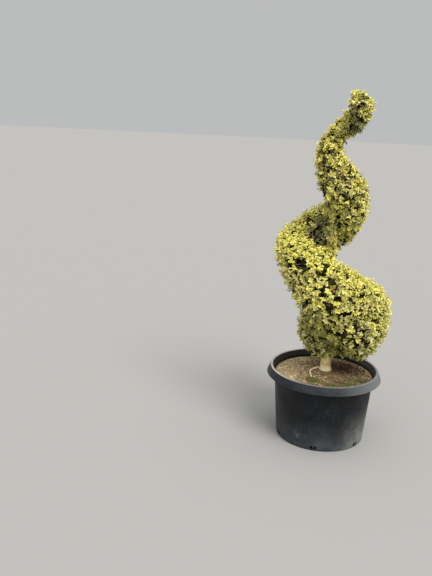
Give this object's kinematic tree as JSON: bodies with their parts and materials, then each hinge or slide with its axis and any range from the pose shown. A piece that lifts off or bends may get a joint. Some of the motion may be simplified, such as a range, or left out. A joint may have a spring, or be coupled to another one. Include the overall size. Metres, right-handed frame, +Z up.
{
  "type": "spiral topiary in a nursery pot",
  "caption": "Small-leaved variegated evergreen clipped into a spiral band winding up one upright trunk, standing in a round black nursery pot.",
  "frame": {"origin": "centre of the pot's flat underside", "axes": "+Z up the trunk, +X to the right and +Y away as the plant is seen from its front"},
  "size_m": [0.5202, 0.496, 1.4864],
  "materials": {
    "pot": "moulded black plastic, slightly scuffed and dusty, with a greyer rim",
    "potting_mix": "rough, fine bark and wood crumbs",
    "trunk_bark": "pale tan bark, finely furrowed",
    "root_bark": "pale smooth bark",
    "bough_bark": "brown bark, finely furrowed",
    "foliage": "small leathery leaves, green with yellow margins, soft sheen"
  },
  "bodies": {
    "root": {"pot": "pot", "soil": "potting_mix", "trunk": "trunk_bark", "surface_root": "root_bark", "bough_01": "bough_bark", "bough_02": "bough_bark", "bough_03": "bough_bark", "bough_04": "bough_bark", "bough_05": "bough_bark", "bough_06": "bough_bark", "bough_07": "bough_bark", "bough_08": "bough_bark", "bough_09": "bough_bark", "bough_10": "bough_bark", "bough_11": "bough_bark", "bough_12": "bough_bark", "foliage_1": "foliage", "foliage_2": "foliage", "foliage_3": "foliage", "foliage_4": "foliage", "foliage_5": "foliage", "foliage_6": "foliage"}
  },
  "joints": []
}
